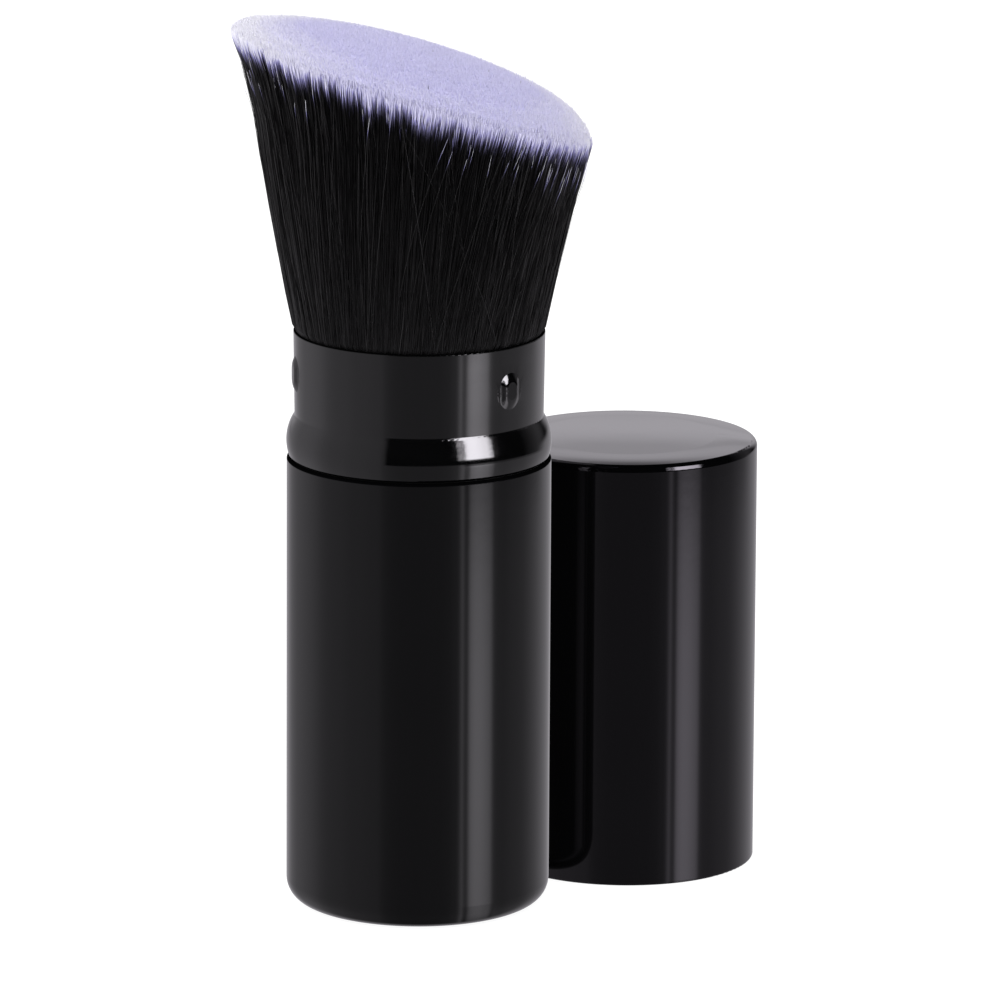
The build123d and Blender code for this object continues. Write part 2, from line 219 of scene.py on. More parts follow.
BLACK = (0.0012, 0.0012, 0.0014)
materials = {
    "barrel_shell": lacquer("barrel_lacquer", BLACK, 0.055, lip=0.05500),
    "cap_shell": lacquer("cap_lacquer", BLACK, 0.050, tint=(0.93, 0.895, 0.955)),
    "collar_shell": lacquer("collar_lacquer", BLACK, 0.085, 1.6, 1.75, lip=0.07078),
    "slide_tube": moulded("tube_plastic", (0.010, 0.010, 0.0108), 0.28, 0.5),
    "barrel_liner": moulded("liner_plastic", (0.03, 0.03, 0.032), 0.5),
    "guide_bushing": moulded("bushing_plastic", (0.004, 0.004, 0.0042), 0.6, 1.0, 0.08),
    "cap_liner": moulded("cap_liner_plastic", (0.026, 0.026, 0.028), 0.4),
    "core_post": moulded("post_plastic", (0.72, 0.70, 0.66), 0.45),
    "base_weight": turned_metal("weight_steel", (0.52, 0.52, 0.54), 0.3),
    "post_screw": turned_metal("screw_steel", (0.6, 0.6, 0.62), 0.25),
    "screw_washer": turned_metal("washer_steel", (0.62, 0.62, 0.64), 0.28),
    "ferrule": turned_metal("ferrule_metal", (0.78, 0.78, 0.8), 0.22),
    "weight_pad": soft_stuff("pad_paper", (0.82, 0.80, 0.74), 0.8),
    "root_glue": soft_stuff("resin", (0.5, 0.36, 0.16), 0.25, 700.0, 0.00002),
    "tuft_binding": soft_stuff("binding_cord", (0.7, 0.65, 0.54), 0.85, 4200.0, 0.00006, 0.3),
    "friction_ring": soft_stuff("silicone", (0.05, 0.05, 0.052), 0.5),
}
for node, m in materials.items():
    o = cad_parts[node]
    for i in range(max(1, len(o.material_slots))):
        if len(o.material_slots):
            o.material_slots[i].material = m
        else:
            o.data.materials.append(m)


# ------------------------------------------------------------------ bristle tuft
rng = np.random.default_rng(20417)
# The tuft's outline, radius against height in mm, at its left and at its right. It flares
# once more just under the cut, where the outer fibres roll outwards.
NECK_PART = [
    (52.6, 12.05), (56.0, 12.35), (62.0, 12.75), (66.0, 13.15), (68.2, 13.50), (69.4, 14.10),
    (70.4, 14.52), (70.76, 14.66), (70.95, 14.84), (71.15, 15.08), (71.45, 15.26),
]
LEFT = np.array(NECK_PART + [
    (72.76, 15.54), (74.24, 15.90), (75.7, 16.20), (77.2, 16.51), (78.7, 16.80), (80.1, 17.08),
    (81.6, 17.36), (83.1, 17.62), (84.6, 17.87), (86.0, 18.11), (87.5, 18.39), (89.0, 18.67),
    (90.4, 18.92), (91.9, 19.16), (93.35, 19.38), (94.8, 19.57), (96.3, 19.77), (98.0, 20.03),
    (106.0, 21.35), (112.0, 22.3),
])
RIGHT = np.array(NECK_PART + [
    (72.85, 15.57), (74.35, 15.93), (75.8, 16.26), (77.3, 16.60), (78.8, 16.94), (80.3, 17.26),
    (81.7, 17.57), (83.2, 17.91), (84.7, 18.23), (86.2, 18.57), (87.6, 18.88), (90.6, 19.45),
    (93.5, 19.95), (97.0, 20.55), (106.0, 21.9), (112.0, 22.8),
])
TOP_Z, SLOPE_X, SLOPE_Y, DOME, EDGE, EDGE_N = 102.82, 0.280, 0.045, 2.73, 2.83, 14.0


def smooth_table(points):
    """A monotone cubic through (x, y) points, as a fine table."""
    x, y = points[:, 0], points[:, 1]
    h = np.diff(x)
    d = np.diff(y) / h
    m = np.zeros(len(x))
    m[0], m[-1] = d[0], d[-1]
    for i in range(1, len(x) - 1):
        if d[i - 1] * d[i] > 0:
            a, b = 2 * h[i] + h[i - 1], h[i] + 2 * h[i - 1]
            m[i] = (a + b) / (a / d[i - 1] + b / d[i])
    fine = np.linspace(x[0], x[-1], 1600)
    k = np.clip(np.searchsorted(x, fine) - 1, 0, len(h) - 1)
    s = (fine - x[k]) / h[k]
    v = ((1 + 2 * s) * (1 - s) ** 2 * y[k] + s * (1 - s) ** 2 * h[k] * m[k]
         + s * s * (3 - 2 * s) * y[k + 1] + s * s * (s - 1) * h[k] * m[k + 1])
    return fine, v


LEFT_T, RIGHT_T = smooth_table(LEFT), smooth_table(RIGHT)
# inside the tuft the fibres fan out from the roots in even curves, with no bend at the rim
INNER_T = smooth_table(np.array([
    (52.6, 12.05), (62.0, 12.8), (70.9, 14.75), (79.4, 16.75), (89.3, 18.8), (98.0, 20.2),
    (106.0, 21.6), (112.0, 22.5),
]))


def reach(z, rho, phi, tip):
    """How far from the axis a fibre of share rho is, at height z."""
    side = (1 + np.cos(phi)) / 2
    outer = (1 - side) * np.interp(z, *LEFT_T) + side * np.interp(z, *RIGHT_T)
    outer = outer + (1.0 - 0.45 * side) * np.exp(-((tip - z) / 4.2) ** 2)
    w = np.clip((rho - 0.80) / 0.20, 0, 1) ** 2
    return rho * (w * outer + (1 - w) * np.interp(z, *INNER_T))


def cut_height(x, y, rho, edge=EDGE):
    """The slanted, domed cut with its rounded edge, which is sharper at the left and the front."""
    sharper = 1 - 0.55 * np.clip(-x / 20.0, 0, 1) ** 5 - 0.42 * np.clip(-y / 19.0, 0, 1) ** 2
    return TOP_Z - SLOPE_X * x - SLOPE_Y * y + DOME * (1 - rho ** 2) - edge * sharper * rho ** EDGE_N


def tip_of(phi, rho):
    """Where a fibre of direction phi and share rho meets the cut."""
    z = np.full(np.shape(phi), 102.0)
    for _ in range(14):
        r = reach(z, rho, phi, z)
        z = 0.5 * z + 0.5 * cut_height(r * np.cos(phi), r * np.sin(phi), rho)
    return z


def wave(phi, seed, terms=9, high=40):
    """A smooth seeded wave round the tuft, about -1 to 1, for clumps."""
    g = np.random.default_rng(seed)
    out = np.zeros_like(phi)
    for _ in range(terms):
        out += np.sin(phi * g.integers(3, high) + g.uniform(0, 2 * np.pi)) * g.uniform(0.4, 1)
    return out / (0.5 * terms ** 0.5 * 1.6)


# how far below the rounded edge the dyed tips reach, against direction in degrees
DYE = np.array([(-180, 0.55), (-158, 0.4), (-142, 0.35), (-128, 0.65), (-115, 0.35), (-100, 0.8),
                (-87, 0.95), (-78, 1.5), (-70, 0.95), (-62, 0.5), (-55, 0.9), (-46, 1.05), (-40, 1.15),
                (-33, 1.25), (-25, 1.5), (-12, 1.45), (0, 1.4), (60, 1.0), (120, 0.7), (180, 0.55)], float)
# how far to the side the outer fibres' tips lie from their roots, in mm
LEAN = np.array([(-180, 0.0), (-150, 0.4), (-120, 1.2), (-90, 1.9), (-60, 2.7), (-35, 2.2), (0, 0.8),
                 (50, -0.6), (110, -0.8), (180, 0.0)], float)


def degrees_of(phi):
    return np.degrees(np.arctan2(np.sin(phi), np.cos(phi)))


def dye_line(phi, x, y, rho):
    """The height at which a fibre turns from black to lavender, before its own scatter."""
    return cut_height(x, y, rho, 0.0) - EDGE - np.interp(degrees_of(phi), DYE[:, 0], DYE[:, 1])


CLUMPS = 118
clump_rng = np.random.default_rng(905)
CLUMP_AT = (np.arange(CLUMPS) + clump_rng.uniform(-0.34, 0.34, CLUMPS)) * 2 * np.pi / CLUMPS - np.pi
CLUMP_RISE = clump_rng.normal(0, 0.32, CLUMPS)
CLUMP_PEAK = clump_rng.uniform(0.1, 1.1, CLUMPS)
CLUMP_LEAN = clump_rng.normal(0, 0.6, CLUMPS)


def clump(phi):
    """The tuft's edge is gathered in points: for a direction, the rise of the dye line and the
    clump's own lean."""
    a = (phi + np.pi) % (2 * np.pi) - np.pi
    gap = np.abs((a[:, None] - CLUMP_AT[None] + np.pi) % (2 * np.pi) - np.pi)
    k = np.argmin(gap, 1)
    near = gap[np.arange(len(a)), k] / (np.pi / CLUMPS)
    return CLUMP_RISE[k] + CLUMP_PEAK[k] * (1 - np.clip(near, 0, 1)) ** 1.3, CLUMP_LEAN[k]


TONES, PALES = 16, 4
COLUMNS = TONES * PALES
TONE_OF = np.random.default_rng(77).permutation(np.linspace(0, 1, TONES))


def fade(t):
    """Share of lavender at t mm above a fibre's own dye line."""
    s = np.clip(t / 2.5 + 0.5, 0, 1)
    return s * s * (3 - 2 * s)


def rise_of(t, dye):
    """Share of the way from the roots to where the dye begins."""
    return np.clip((t + dye - 52.0) / (dye - 54.0), 0, 1)


def along(t, dye):
    """The bake map's v at t mm above a fibre's dye line."""
    up = 0.55 + 0.44 * np.sqrt(np.clip(t, 0, 5.5) / 5.5)
    near = 0.45 + 0.05 * np.clip(t + 2.0, 0, 2)
    return np.where(t > 0, up, np.where(t > -2.0, near, 0.01 + 0.44 * rise_of(t, dye)))


def painted_root_light(t, dye):
    """Painted light: the fibres are a little lighter low down, where they leave the collar."""
    h = rise_of(t, dye)
    return np.where(t > -2.0, 0.0, np.clip((0.86 - h) / 0.42, 0, 1) ** 1.3)


class Batch:
    """Gathers closed fibre meshes and writes them as one."""

    def __init__(self):
        self.points, self.quads, self.tris = [], [], []
        self.rows = {k: [] for k in ("lavender", "tone", "pale", "root", "u", "v")}
        self.count = 0

    def keep(self, **values):
        for k, v in values.items():
            self.rows[k].append(v)

    def fibres(self, path, radius, dye, column, spin):
        """path: (n, k, 3) from root to tip, in mm. radius: (n, k). dye: height of the dye line."""
        dye = dye[:, None]
        t = path[:, :, 2] - dye
        n, k, _ = path.shape
        rings = path[:, :-1]
        out = np.stack([path[:, -1, 0], path[:, -1, 1], np.zeros(n)], 1)
        out /= np.maximum(np.linalg.norm(out, axis=1, keepdims=True), 1e-6)
        side = np.stack([-out[:, 1], out[:, 0], np.zeros(n)], 1)
        a = spin[:, None] + np.arange(3)[None] * (2 * np.pi / 3)
        off = np.cos(a)[..., None] * out[:, None] + np.sin(a)[..., None] * side[:, None]
        ring = rings[:, :, None] + off[:, None] * radius[:, :-1, None, None]
        pts = np.concatenate([ring.reshape(n, -1, 3), path[:, -1:]], 1)
        per = pts.shape[1]
        base = self.count + np.arange(n) * per
        quads = []
        for j in range(k - 2):
            for s in range(3):
                s2 = (s + 1) % 3
                quads.append([3 * j + s, 3 * j + s2, 3 * j + 3 + s2, 3 * j + 3 + s])
        tris = [[2, 1, 0]] + [[3 * (k - 2) + s, 3 * (k - 2) + (s + 1) % 3, per - 1] for s in range(3)]
        self.points.append(pts.reshape(-1, 3))
        self.quads.append((np.array(quads)[None] + base[:, None, None]).reshape(-1, 4))
        self.tris.append((np.array(tris)[None] + base[:, None, None]).reshape(-1, 3))

        def spread(v):
            return np.concatenate([np.repeat(v[:, :-1], 3, 1), v[:, -1:]], 1).ravel()

        ones = np.ones((n, k))
        tone = TONE_OF[column % TONES][:, None] * ones
        pale = (column // TONES)[:, None] / (PALES - 1) * ones
        step = np.concatenate([np.tile([0.14, 0.5, 0.86], k - 1), [0.5]])
        self.keep(lavender=spread(fade(t)), tone=spread(tone), pale=spread(pale),
                  root=spread(painted_root_light(t, dye)), v=spread(along(t, dye)),
                  u=((column[:, None] + step[None]) / (COLUMNS + 4)).ravel())
        self.count += n * per

    def body(self, pts, quads, tris, t, tone, u):
        """The first shape of a batch. It has sharp edges, where fibres are smooth."""
        self.sharp = (len(quads), len(tris))
        self.points.append(pts)
        self.quads.append(np.array(quads) + self.count)
        self.tris.append(np.array(tris) + self.count)
        self.keep(lavender=fade(t), tone=tone, pale=np.zeros(len(pts)), root=np.zeros(len(pts)),
                  v=along(t, np.full(len(pts), 90.0)), u=(COLUMNS + 0.3 + 3.2 * u) / (COLUMNS + 4))
        self.count += len(pts)

    def mesh(self, name, material):
        pts = np.concatenate(self.points) * MM
        quads = np.concatenate(self.quads)
        tris = np.concatenate(self.tris)
        rows = {k: np.concatenate(v).astype(np.float32) for k, v in self.rows.items()}
        me = bpy.data.meshes.new(name)
        me.vertices.add(len(pts))
        me.vertices.foreach_set("co", pts.astype(np.float32).ravel())
        loops = np.concatenate([quads.ravel(), tris.ravel()]).astype(np.int32)
        me.loops.add(len(loops))
        me.loops.foreach_set("vertex_index", loops)
        me.polygons.add(len(quads) + len(tris))
        starts = np.concatenate([np.arange(len(quads)) * 4, len(quads) * 4 + np.arange(len(tris)) * 3])
        me.polygons.foreach_set("loop_start", starts.astype(np.int32))
        me.update(calc_edges=True)
        me.validate()
        smooth = np.ones(len(me.polygons), bool)
        smooth[:self.sharp[0]] = False
        smooth[len(quads):len(quads) + self.sharp[1]] = False
        me.polygons.foreach_set("use_smooth", smooth)
        for key in ("lavender", "tone", "pale", "root"):
            me.attributes.new(key, "FLOAT", "POINT").data.foreach_set("value", rows[key])
        # a bake map: one column for each kind of fibre, with its dye line at one height
        uv = me.uv_layers.new(name="OFBake")
        index = np.empty(len(me.loops), np.int32)
        me.loops.foreach_get("vertex_index", index)
        both = np.stack([rows["u"][index], np.clip(rows["v"][index], 0.003, 0.997)], 1)
        uv.data.foreach_set("uv", both.astype(np.float32).ravel())
        me.materials.append(material)
        o = bpy.data.objects.new(name, me)
        bpy.context.collection.objects.link(o)
        return o


def bristle_material():
    """Tapered synthetic filaments: black, with lavender tips that pale towards the rim; that paleness is painted back
    light, and the black is painted lighter low down.
    """
    m, t, p = new_material("bristles")

    def read(name):
        n = t.nodes.new("ShaderNodeAttribute")
        n.attribute_name = name
        return n.outputs["Fac"]

    lav, tone, pale, root = read("lavender"), read("tone"), read("pale"), read("root")
    curve = math_node(t, "POWER", tone, 4.0)
    dark = mixed(t, curve, (0.0017, 0.0016, 0.0018), (0.031, 0.0295, 0.0315))
    # painted light: the fibres' black is lifted low down, where they leave the collar
    dark = mixed(t, math_node(t, "MULTIPLY", root, 0.30), dark, (0.020, 0.019, 0.0205))
    # the pale lavender mixed in below is painted back light at the tuft's rim
    deep = mixed(t, tone, (0.73, 0.71, 0.965), (0.635, 0.615, 0.86))
    light = mixed(t, tone, (0.85, 0.835, 0.955), (0.90, 0.89, 0.97))
    colour = mixed(t, ranged(t, lav, 0.02, 0.40, 0.0, 1.0), dark, (0.085, 0.078, 0.15))
    colour = mixed(t, ranged(t, lav, 0.40, 0.74, 0.0, 1.0), colour, (0.35, 0.33, 0.65))
    colour = mixed(t, ranged(t, lav, 0.74, 1.0, 0.0, 1.0), colour, mixed(t, pale, deep, light))
    t.links.new(colour, p.inputs["Base Color"])
    rough = math_node(t, "ADD", ranged(t, tone, 0.0, 1.0, 0.34, 0.46), math_node(t, "MULTIPLY", lav, 0.25))
    t.links.new(rough, p.inputs["Roughness"])
    p.inputs["Specular IOR Level"].default_value = 0.22
    return m


BRISTLES = bristle_material()
SECTORS = 24


def pale_with_painted_backlight(phi, rho, n, more=0.0):
    """Painted back light: palest at the rim, and most at the left and the back."""
    rim = np.interp(degrees_of(phi), [-180, -140, -110, -60, -30, 0, 40, 90, 180],
                    [0.9, 0.6, 0.15, 0.1, 0.3, 0.7, 0.8, 0.95, 0.9])
    start = 0.62 - 0.22 * np.clip(np.sin(phi), 0, 1)
    p = np.clip((rho - start) / 0.34, 0, 1) ** 1.2 * rim * 1.35 + rng.normal(more, 0.06, n)
    return np.clip(np.round(p * (PALES - 1)), 0, PALES - 1).astype(int)


def tone_with_painted_rim_light(phi, n):
    """A kind of fibre: mostly the darkest at the front, lighter ones towards both sides, which is painted rim light.
    """
    rim_light_skew = np.interp(degrees_of(phi), [-180, -165, -153, -142, -130, -110, -90, -50, -35, -25, -10, 0, 180],
                     [0.22, 0.25, 0.6, 2.0, 2.8, 4.2, 4.8, 4.5, 3.2, 2.0, 0.8, 0.5, 0.4])
    rank = np.clip((rng.random(n) ** rim_light_skew * TONES).astype(int), 0, TONES - 1)
    return np.argsort(TONE_OF)[rank]


def ordered(rows, gap=0.04):
    """Rows of heights, kept in rising order."""
    rows = rows.copy()
    for j in range(rows.shape[1] - 2, -1, -1):
        rows[:, j] = np.minimum(rows[:, j], rows[:, j + 1] - gap)
    return rows


def make_side(batch, lo, hi, n):
    """Long fibres of the tuft's outer layers, from the ferrule to their tips. phi is where a
    fibre's tip is; its root lies a little to the side, as the fibres lean."""
    phi = rng.uniform(lo, hi, n)
    rho = 1 - 0.125 * rng.random(n) ** 1.2
    full = tip_of(phi, rho)
    tip_z = full + rng.normal(0, 0.085, n)
    short = rng.random(n) < 0.03
    tip_z -= short * rng.uniform(0.2, 1.1, n)
    r_tip = reach(tip_z, rho, phi, tip_z)
    dye = dye_line(phi, r_tip * np.cos(phi), r_tip * np.sin(phi), rho)
    rise, gather = clump(phi)
    scatter = np.interp(degrees_of(phi), [-180, -120, -100, -60, -40, 180], [0.5, 0.5, 0.62, 0.62, 0.5, 0.5])
    dye += rise + 0.15 * wave(phi, 21, 14, 60) + np.clip(rng.normal(0, 1, n), -3.0, 1.0) * scatter
    # a few outer fibres are shorter, and their pale ends show against the black
    deg = degrees_of(phi)
    share_light = np.interp(deg, [-180, -130, -115, -100, -80, -55, -40, -15, 30, 180],
                            [0.008, 0.01, 0.028, 0.02, 0.01, 0.03, 0.055, 0.028, 0.01, 0.01])
    light = (rng.random(n) < share_light) & (rho > 0.93)
    dye = np.where(light, dye - rng.uniform(1.2, 4.8, n), dye)
    tip_z = np.where(light, np.minimum(tip_z, dye + rng.uniform(1.4, 2.8, n)), tip_z)
    fixed = np.array([60.0, 66.5, 69.6, 70.6, 71.05, 71.7])
    share = np.array([0.12, 0.28, 0.46, 0.64, 0.82])
    low = dye - 2.1
    z = np.concatenate([
        np.repeat(fixed[None], n, 0),
        fixed[-1] + (low[:, None] - fixed[-1]) * share[None],
        low[:, None], dye[:, None] - 0.9, dye[:, None], dye[:, None] + 0.9,
        tip_z[:, None] - 0.35, tip_z[:, None],
    ], 1)
    z = ordered(z)
    s = np.clip((z - 69.0) / (tip_z[:, None] - 69.0), 0, 1)
    stray = (rng.random(n) < 0.022) & ~light
    lean = np.interp(deg, LEAN[:, 0], LEAN[:, 1]) + gather + rng.normal(0, 0.55, n)
    lean = np.where(stray, rng.normal(0.8, 4.2, n), lean)
    lean = np.where(light, lean + rng.normal(1.2, 2.0, n), lean)
    bow = rng.normal(0, 0.42, n) + 0.5 * gather
    sway = rng.normal(0, 0.14, n)
    r = reach(z, rho[:, None], phi[:, None], tip_z[:, None])
    weave = 0.16 * np.sin(s * rng.uniform(4, 12, n)[:, None] + rng.uniform(0, 6.28, n)[:, None])
    depth = np.where(rho > 0.985, -0.4, 1.0)[:, None]
    r += depth * weave * np.clip(s * 6, 0, 1) * (1 - s ** 4)
    r += (rng.normal(0, 0.085, n)[:, None] - 0.24 * (1 - s ** 5)) * np.clip(s * 5, 0, 1)
    r += np.where(stray | light, rng.uniform(0.0, 0.28, n), 0)[:, None] * s * (1 - 0.6 * s) * 2
    side = lean[:, None] * (s ** 1.2 - 1) + bow[:, None] * s * (1 - s) * 4
    side += sway[:, None] * np.sin(s * rng.uniform(5, 14, n)[:, None]) * s * (1 - s) * 2
    ang = phi[:, None] + side / np.maximum(r, 1)
    path = np.stack([r * np.cos(ang), r * np.sin(ang), z], 2)
    width = np.where(light | stray, rng.uniform(0.018, 0.027, n), rng.uniform(0.040, 0.060, n))[:, None]
    taper = np.clip((tip_z[:, None] - z) / 2.6, 0, 1) ** 0.6 * 0.42 + 0.58
    # painted light: the outer fibres are lighter towards both sides and their tips paler, as if lit from behind
    column = tone_with_painted_rim_light(phi, n) + TONES * pale_with_painted_backlight(phi, rho, n, 0.12)
    column = np.where(light | stray, np.argmax(TONE_OF) + TONES * (rng.random(n) < 0.6) * (PALES - 1), column)
    batch.fibres(path, width * taper, dye, column, rng.uniform(0, 2 * np.pi, n))


def make_top(batch, lo, hi, n):
    """The ends of the inner fibres, which make the cut's furry face."""
    phi = rng.uniform(lo, hi, n)
    rho = np.sqrt(rng.random(n)) * 0.982
    tip_z = tip_of(phi, rho) + rng.normal(0, 1, n) * np.interp(rho, [0, 0.78, 0.93, 1], [0.11, 0.11, 0.17, 0.2])
    back = np.array([5.5, 2.6, 1.1, 0.4, 0.0])
    z = tip_z[:, None] - back[None]
    s = (5.5 - back)[None] / 5.5
    r = reach(z, rho[:, None], phi[:, None], tip_z[:, None]) + s * rng.normal(0, 0.10, n)[:, None]
    side = rng.normal(0, 0.18, n)[:, None] * s
    ang = phi[:, None] + side / np.maximum(r, 1.0)
    path = np.stack([r * np.cos(ang), r * np.sin(ang), z], 2)
    dye = tip_z - 4.3
    black = rng.random(n) < 0.0004
    dye = np.where(black, tip_z + 2.0, dye)
    width = rng.uniform(0.055, 0.078, n)[:, None]
    taper = np.clip(back[None] / 1.4, 0, 1) ** 0.5 * 0.5 + 0.5
    column = rng.integers(0, TONES, n) + TONES * pale_with_painted_backlight(phi, rho, n)
    batch.fibres(path, width * taper, dye, column, rng.uniform(0, 2 * np.pi, n))


def make_inside(batch, lo, hi):
    """The packed fibres behind the outer ones, as one closed wedge."""
    steps = 5
    phis = np.linspace(lo - 0.006, hi + 0.006, steps)
    share, below = 0.955, 0.38
    levels = [52.7, 60.0, 66.0, 69.0, 70.7, 72.0, 76.0, 82.0, 88.0]
    inner_top = [0.25, 0.5, 0.72, 0.88, 0.96, 1.0]
    pts, quads, tris, t, u = [], [], [], [], []

    def add(p, tt, uu):
        pts.append(p), t.append(tt), u.append(uu)
        return len(pts) - 1

    walls, tops = [], []
    for a, ph in enumerate(phis):
        one = np.array([ph])
        edge_z = float(tip_of(one, np.array([share]))[0]) - below
        column = []
        for j, z in enumerate(levels + [92.0]):
            zz = min(z, edge_z - 2.6)
            rr = float(reach(np.array([zz]), np.array([share]), one, np.array([edge_z]))[0])
            column.append(add((rr * math.cos(ph), rr * math.sin(ph), zz), -30.0 + 2.2 * j, a / steps))
        walls.append(column)
        row = []
        for j, q in enumerate(inner_top):
            rho = np.array([share * q])
            zt = float(tip_of(one, rho)[0]) - below
            rr = float(reach(np.array([zt]), rho, one, np.array([zt]))[0])
            row.append(add((rr * math.cos(ph), rr * math.sin(ph), zt), 2.6 + 0.1 * j, a / steps))
        tops.append(row)
    foot = add((0, 0, levels[0]), -36.0, 0.5)
    apex = add((0, 0, float(cut_height(0.0, 0.0, 0.0)) - below), 2.3, 0.5)
    for a in range(steps - 1):
        c0, c1 = walls[a], walls[a + 1]
        for j in range(len(c0) - 1):
            quads.append([c0[j], c1[j], c1[j + 1], c0[j + 1]])
        t0, t1 = tops[a], tops[a + 1]
        quads.append([c0[-1], c1[-1], t1[-1], t0[-1]])
        for j in range(len(t0) - 1, 0, -1):
            quads.append([t0[j], t1[j], t1[j - 1], t0[j - 1]])
        tris.append([t0[0], t1[0], apex])
        tris.append([c1[0], c0[0], foot])
    for flip, c0, t0 in ((False, walls[0], tops[0]), (True, walls[-1], tops[-1])):
        loop = [foot] + c0 + t0[::-1] + [apex]
        for j in range(1, len(loop) - 1):
            tri = [foot, loop[j], loop[j + 1]]
            tris.append(tri[::-1] if flip else tri)
    n = len(pts)
    batch.body(np.array(pts), quads, tris, np.array(t), np.full(n, 0.1), np.array(u))


for i in range(SECTORS):
    lo, hi = 2 * np.pi * i / SECTORS, 2 * np.pi * (i + 1) / SECTORS
    batch = Batch()
    make_inside(batch, lo, hi)
    make_side(batch, lo, hi, 1000)
    make_top(batch, lo, hi, 2800)
    o = batch.mesh(f"bristles_{i:02d}", BRISTLES)
    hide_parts("bristle_core", "bristle_flare")
    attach(o, "handle")
    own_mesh(o)

# ------------------------------------------------------------------ floor, world and lights
floor_mesh = bpy.data.meshes.new("floor")
floor_mesh.from_pydata([(-4, -4, 0), (4, -4, 0), (4, 4, 0), (-4, 4, 0)], [], [(0, 1, 2, 3)])
floor = bpy.data.objects.new("floor", floor_mesh)
bpy.context.collection.objects.link(floor)
fm, ft, fp = new_material("floor_paper")
grain = noise(ft, place(ft), 900.0, 4.0)
ft.links.new(mixed(ft, grain, (0.20, 0.20, 0.203), (0.24, 0.24, 0.243)), fp.inputs["Base Color"])
fp.inputs["Roughness"].default_value = 0.9
fp.inputs["Specular IOR Level"].default_value = 0.0
fp.inputs["Emission Color"].default_value = (1.0, 1.0, 1.0, 1.0)
fp.inputs["Emission Strength"].default_value = 0.93
floor_mesh.materials.append(fm)
floor.visible_glossy = False

# The world: white to the camera, an even soft white for matt surfaces, and for glossy ones
# the studio's panels: grey ones all round, a bright strip and a window at the right.
world = bpy.data.worlds.new("studio")
bpy.context.scene.world = world
world.use_nodes = True
wt = world.node_tree
wt.nodes.clear()
w_out = wt.nodes.new("ShaderNodeOutputWorld")
coord = wt.nodes.new("ShaderNodeTexCoord")
split = wt.nodes.new("ShaderNodeSeparateXYZ")
wt.links.new(coord.outputs["Generated"], split.inputs[0])
wx, wy, wz = split.outputs
azimuth = math_node(wt, "MULTIPLY", math_node(wt, "ARCTAN2", wx, math_node(wt, "MULTIPLY", wy, -1.0)), 180 / math.pi)
elevation = math_node(wt, "MULTIPLY", math_node(wt, "ARCSINE", wz), 180 / math.pi)


def between(value, a, b, soft_a, soft_b):
    up = ranged(wt, value, a - soft_a / 2, a + soft_a / 2, 0.0, 1.0, True)
    dn = ranged(wt, value, b - soft_b / 2, b + soft_b / 2, 1.0, 0.0, True)
    return math_node(wt, "MULTIPLY", up, dn)


def times(*values):
    out = values[0]
    for v in values[1:]:
        out = math_node(wt, "MULTIPLY", out, v)
    return out


def plus(*values):
    out = values[0]
    for v in values[1:]:
        out = math_node(wt, "ADD", out, v)
    return out


def curve(value, *points, top=2.5):
    """A value read from a table of (x, y) points, held level beyond its ends."""
    x0, x1 = points[0][0], points[-1][0]
    n = wt.nodes.new("ShaderNodeValToRGB")
    wt.links.new(ranged(wt, value, x0, x1, 0.0, 1.0), n.inputs["Fac"])
    stops = n.color_ramp.elements
    while len(stops) > 1:
        stops.remove(stops[-1])
    for i, (x, y) in enumerate(points):
        stop = stops[0] if i == 0 else stops.new((x - x0) / (x1 - x0))
        stop.position = (x - x0) / (x1 - x0)
        stop.color = (y / top, y / top, y / top, 1.0)
    return times(n.outputs["Color"], top)


# The panels are hung so that they run straight down a turned body's rounded edges, seen from
# the front. Their places are therefore given by the direction of the surface that mirrors them
# to the front: twice its turn round the axis, and its tilt.
front_ray = (0.0, math.cos(pitch), -math.sin(pitch))
half = wt.nodes.new("ShaderNodeVectorMath")
half.operation = "SUBTRACT"
wt.links.new(coord.outputs["Generated"], half.inputs[0])
half.inputs[1].default_value = front_ray
size = wt.nodes.new("ShaderNodeVectorMath")
size.operation = "LENGTH"
wt.links.new(half.outputs[0], size.inputs[0])
length = size.outputs["Value"]
half_split = wt.nodes.new("ShaderNodeSeparateXYZ")
wt.links.new(half.outputs[0], half_split.inputs[0])
hx, hy, hz = half_split.outputs
turned = times(math_node(wt, "ARCTAN2", hx, times(hy, -1.0)), 360 / math.pi)
tilt = times(math_node(wt, "ARCSINE", math_node(wt, "DIVIDE", hz, math_node(wt, "MAXIMUM", length, 0.001))), 180 / math.pi)
facing = ranged(wt, length, 0.6, 0.95, 0.0, 1.0, True)


def panels(value):
    """The panels' brightness all round, from the left and behind over the front to the right."""
    left_part = curve(value, (-180, .52), (-164, .52), (-144, .40), (-132, .40), (-122, .46), (-114, .49),
                      (-106, .50), (-99, .465), (-93, .41), (-87, .375), (-81, .36), (-70, .35), (-60, .315),
                      (-50, .305), (-40, .28), (-36, .275), (-33, .25), (-31, .21), (-27, .175), (-22, .152),
                      (-15, .138))
    middle = curve(value, (-15, .138), (0, .132), (20, .139), (28, .165), (31, .20), (34, .22), (36, .31),
                   (37.5, .56), (39.2, .84), (40.4, .70), (41.3, .53), (42.7, .45), (43.5, .50), (44.2, .66),
                   (45.1, .98), (46, 1.34), (47, 1.64), (48.2, 1.84), (49.8, 2.02), (52, 2.14), (56, 2.10),
                   (59, 1.95), (62, 1.72), (64.7, 1.50), (66.7, 1.20), (67.8, .95), (68.9, .66), (70, .48),
                   (71.5, .355), (74, .29), (80, .262))
    right_part = curve(value, (80, .262), (90, .285), (98, .29), (104, .30), (111, .35), (120, .42), (130, .48),
                       (140, .51), (158, .50), (180, .52))
    return plus(left_part, middle, right_part, -0.138 - 0.262)


